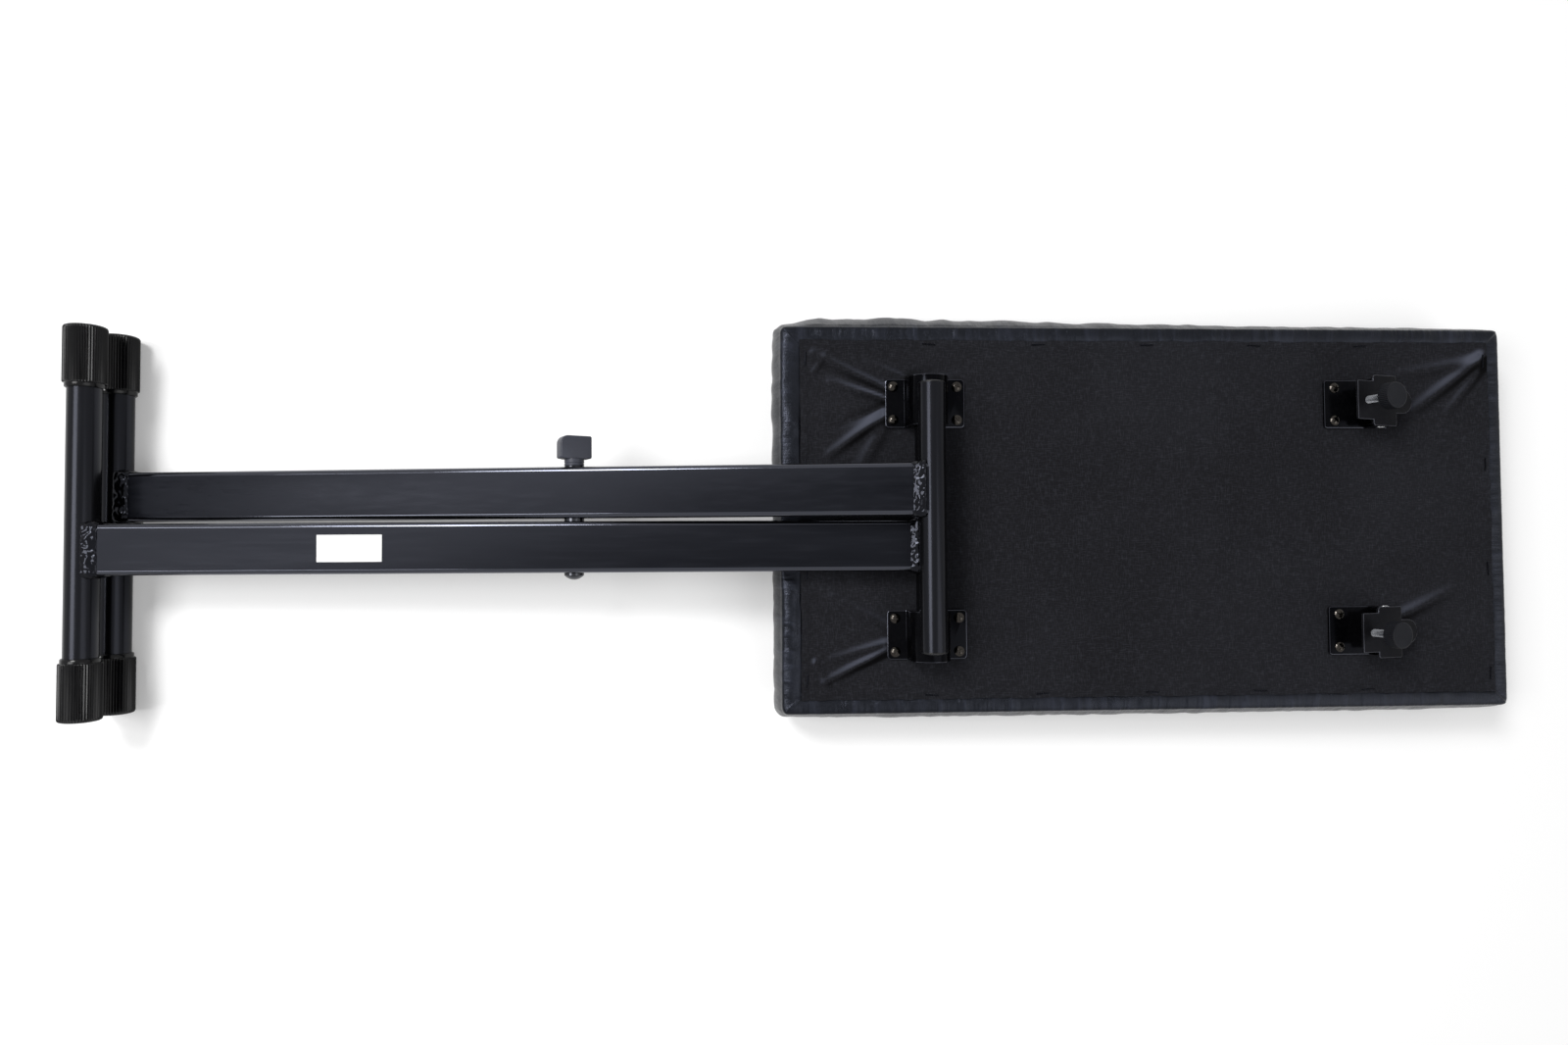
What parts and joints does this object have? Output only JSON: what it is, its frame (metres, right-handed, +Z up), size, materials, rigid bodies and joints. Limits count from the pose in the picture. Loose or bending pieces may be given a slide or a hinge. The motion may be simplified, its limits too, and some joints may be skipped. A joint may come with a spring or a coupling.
{
  "type": "keyboard bench",
  "caption": "Folding keyboard bench with a padded seat, an X frame of rectangular tubes hinged to the seat's underside, and screw clamps for the free bar.",
  "frame": {"origin": "centre of the seat's sitting face, which lies on the floor while the bench is folded upside down", "axes": "+X along the seat, away from the folded frame; +Z up, from the sitting face to the underside; +Y across the seat, towards the pivot knob"},
  "size_m": [1.1662, 0.333, 0.1155],
  "materials": {
    "panel_wood": "matte",
    "seat_foam": "matte",
    "black_leatherette": "satin",
    "black_cloth": "matte",
    "staple_wire": "satin",
    "black_paint": "satin",
    "gloss_black_paint": "gloss",
    "zinc": "satin",
    "chrome": "polished",
    "black_plastic": "matte",
    "black_rubber": "matte",
    "bush_nylon": "satin",
    "brass": "satin",
    "label_white": "satin"
  },
  "bodies": {
    "seat": {"seat_board": "panel_wood", "seat_foam": "seat_foam", "seat_cover": "black_leatherette", "dust_cover": "black_cloth", "dust_cover_staples": "staple_wire", "hinge_saddle_front": "gloss_black_paint", "hinge_saddle_rear": "gloss_black_paint", "hinge_saddle_screws": "zinc", "clamp_base_front": "gloss_black_paint", "clamp_base_rear": "gloss_black_paint", "clamp_base_screws": "zinc", "clamp_pin_front": "zinc", "clamp_pin_rear": "zinc"},
    "hinge_bushes": {"hinge_bush_front": "bush_nylon", "hinge_bush_rear": "bush_nylon"},
    "leg_a": {"leg_a_tube": "black_paint", "leg_a_foot_bar": "black_paint", "leg_a_hinge_bar": "black_paint", "leg_a_foot_weld": "black_paint", "leg_a_top_weld": "black_paint", "leg_a_pivot_sleeve": "zinc", "leg_a_foot_cap_front": "black_rubber", "leg_a_foot_cap_rear": "black_rubber", "hinge_bar_plugs": "black_plastic", "blank_label": "label_white", "pivot_bolt": "chrome", "pivot_head_washer": "black_plastic", "pivot_spacer_washer": "black_plastic", "pivot_knob_washer": "black_plastic"},
    "leg_b": {"leg_b_tube": "black_paint", "leg_b_foot_bar": "black_paint", "leg_b_free_bar": "black_paint", "leg_b_foot_weld": "black_paint", "leg_b_top_weld": "black_paint", "leg_b_pivot_sleeve": "zinc", "leg_b_foot_cap_front": "black_rubber", "leg_b_foot_cap_rear": "black_rubber", "free_bar_plugs": "black_plastic"},
    "pivot_knob": {"pivot_knob": "black_plastic", "pivot_knob_insert": "brass"},
    "jaw_front": {"clamp_jaw_front": "gloss_black_paint"},
    "thumb_screw_front": {"thumb_screw_front": "zinc"},
    "thumb_knob_front": {"thumb_knob_front": "black_plastic"},
    "jaw_rear": {"clamp_jaw_rear": "gloss_black_paint"},
    "thumb_screw_rear": {"thumb_screw_rear": "zinc"},
    "thumb_knob_rear": {"thumb_knob_rear": "black_plastic"}
  },
  "joints": [
    {"name": "frame_swing", "type": "hinge", "parent": "seat", "child": "hinge_bushes", "pos_m": [-0.18365, 0, 0.0748], "axis": [0, 1, 0], "range_deg": [0, 80.77]},
    {"name": "frame_open", "type": "hinge", "parent": "hinge_bushes", "child": "leg_a", "pos_m": [-0.18365, 0, 0.0748], "axis": [0, 1, 0], "range_deg": [0, 50.34]},
    {"name": "cross_pivot", "type": "hinge", "parent": "leg_a", "child": "leg_b", "pos_m": [-0.46247, 0, 0.06491], "axis": [0, -1, 0], "range_deg": [0, 72.49]},
    {"name": "pivot_knob_turn", "type": "hinge", "parent": "leg_a", "child": "pivot_knob", "pos_m": [-0.46247, 0, 0.06491], "axis": [0, 1, 0], "range_deg": [0, 360]},
    {"name": "jaw_front_rock", "type": "hinge", "parent": "seat", "child": "jaw_front", "pos_m": [0.1879, -0.0926, 0.072], "axis": [0, 1, 0], "range_deg": [0, 20]},
    {"name": "thumb_screw_front_travel", "type": "slide", "parent": "jaw_front", "child": "thumb_screw_front", "axis": [0.2588, 0, 0.9659], "range_m": [-0.00041, 0.00151]},
    {"name": "thumb_knob_front_turn", "type": "hinge", "parent": "thumb_screw_front", "child": "thumb_knob_front", "pos_m": [0.16797, -0.0926, 0.088], "axis": [0.2588, 0, 0.9659], "range_deg": [-144, 540]},
    {"name": "jaw_rear_rock", "type": "hinge", "parent": "seat", "child": "jaw_rear", "pos_m": [0.1879, 0.0926, 0.072], "axis": [0, 1, 0], "range_deg": [0, 20]},
    {"name": "thumb_screw_rear_travel", "type": "slide", "parent": "jaw_rear", "child": "thumb_screw_rear", "axis": [0.2588, 0, 0.9659], "range_m": [-0.00041, 0.00151]},
    {"name": "thumb_knob_rear_turn", "type": "hinge", "parent": "thumb_screw_rear", "child": "thumb_knob_rear", "pos_m": [0.16797, 0.0926, 0.088], "axis": [0.2588, 0, 0.9659], "range_deg": [-144, 540]}
  ],
  "couplings": [
    {"joint": "frame_open", "follows": "cross_pivot", "ratio": 0.69427},
    {"joint": "thumb_screw_front_travel", "follows": "thumb_knob_front_turn", "m_per_rad": 0.00015915},
    {"joint": "thumb_screw_rear_travel", "follows": "thumb_knob_rear_turn", "m_per_rad": 0.00015915}
  ]
}
